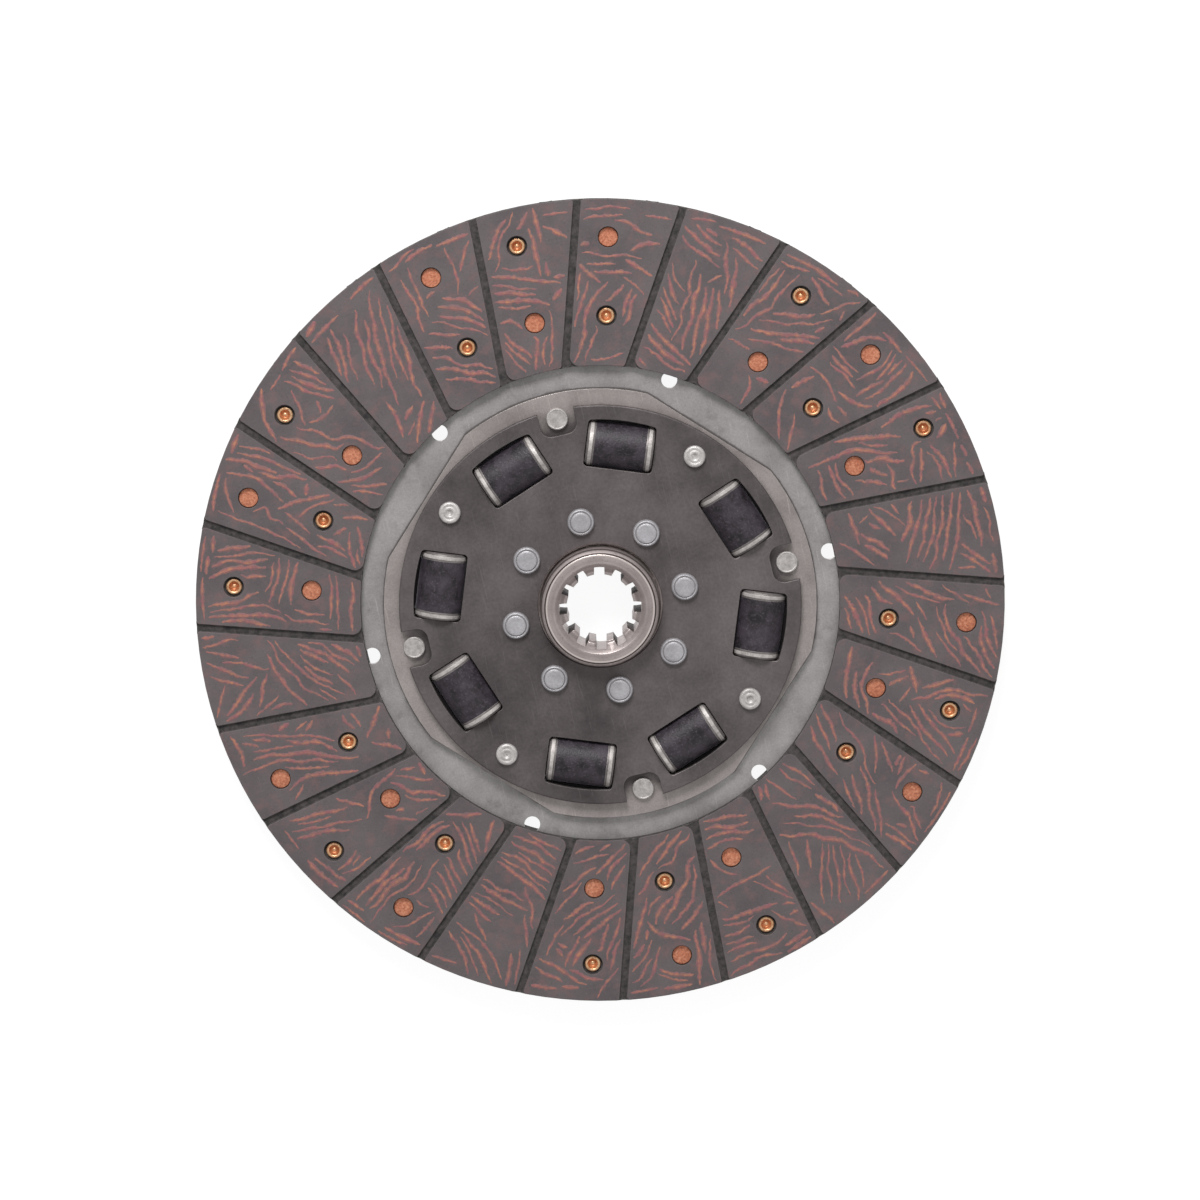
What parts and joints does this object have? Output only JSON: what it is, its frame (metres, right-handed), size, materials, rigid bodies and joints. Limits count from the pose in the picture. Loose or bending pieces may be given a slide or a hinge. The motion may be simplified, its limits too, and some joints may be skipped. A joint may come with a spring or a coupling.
{
  "type": "clutch disc",
  "caption": "Clutch friction disc with grooved facings, a splined hub and rubber torsion dampers between riveted side plates.",
  "frame": {"origin": "on the hub axis, halfway between the two friction facings", "axes": "+Z along the hub axis to the front, the side with the long hub neck; +X through one drive rivet"},
  "size_m": [0.325, 0.325, 0.028],
  "materials": {
    "machined_steel": "machined",
    "dark_plate": "dark phosphated",
    "rivet_steel": "bright zinc",
    "washer_steel": "plain",
    "band_steel": "plain rolled",
    "carrier_steel": "plain rolled",
    "friction": "moulded organic friction compound with copper strands",
    "copper": "copper plated",
    "damper_rubber": "smooth moulded",
    "cap_steel": "pressed"
  },
  "bodies": {
    "hub_side": {"hub": "machined_steel", "front_side_plate": "dark_plate", "rear_side_plate": "dark_plate", "hub_rivets": "rivet_steel", "stop_pins": "rivet_steel", "front_friction_washer": "washer_steel", "rear_friction_washer": "washer_steel"},
    "rim_side": {"drive_plate": "band_steel", "carrier_plate": "carrier_steel", "front_facing": "friction", "rear_facing": "friction", "drive_rivets": "rivet_steel", "facing_rivets_front": "copper", "facing_rivets_rear": "copper", "damper_1_rubber": "damper_rubber", "damper_1_cap_a": "cap_steel", "damper_1_cap_b": "cap_steel", "damper_2_rubber": "damper_rubber", "damper_2_cap_a": "cap_steel", "damper_2_cap_b": "cap_steel", "damper_3_rubber": "damper_rubber", "damper_3_cap_a": "cap_steel", "damper_3_cap_b": "cap_steel", "damper_4_rubber": "damper_rubber", "damper_4_cap_a": "cap_steel", "damper_4_cap_b": "cap_steel", "damper_5_rubber": "damper_rubber", "damper_5_cap_a": "cap_steel", "damper_5_cap_b": "cap_steel", "damper_6_rubber": "damper_rubber", "damper_6_cap_a": "cap_steel", "damper_6_cap_b": "cap_steel", "damper_7_rubber": "damper_rubber", "damper_7_cap_a": "cap_steel", "damper_7_cap_b": "cap_steel", "damper_8_rubber": "damper_rubber", "damper_8_cap_a": "cap_steel", "damper_8_cap_b": "cap_steel"}
  },
  "joints": [
    {"name": "damper_twist", "type": "hinge", "parent": "hub_side", "child": "rim_side", "pos_m": [0, 0, 0], "axis": [0, 0, 1], "range_deg": [-2, 2], "stiffness_Nm_per_rad": 2500, "deforming": ["damper_1_rubber", "damper_1_cap_a", "damper_1_cap_b", "damper_2_rubber", "damper_2_cap_a", "damper_2_cap_b", "damper_3_rubber", "damper_3_cap_a", "damper_3_cap_b", "damper_4_rubber", "damper_4_cap_a", "damper_4_cap_b", "damper_5_rubber", "damper_5_cap_a", "damper_5_cap_b", "damper_6_rubber", "damper_6_cap_a", "damper_6_cap_b", "damper_7_rubber", "damper_7_cap_a", "damper_7_cap_b", "damper_8_rubber", "damper_8_cap_a", "damper_8_cap_b"]}
  ]
}
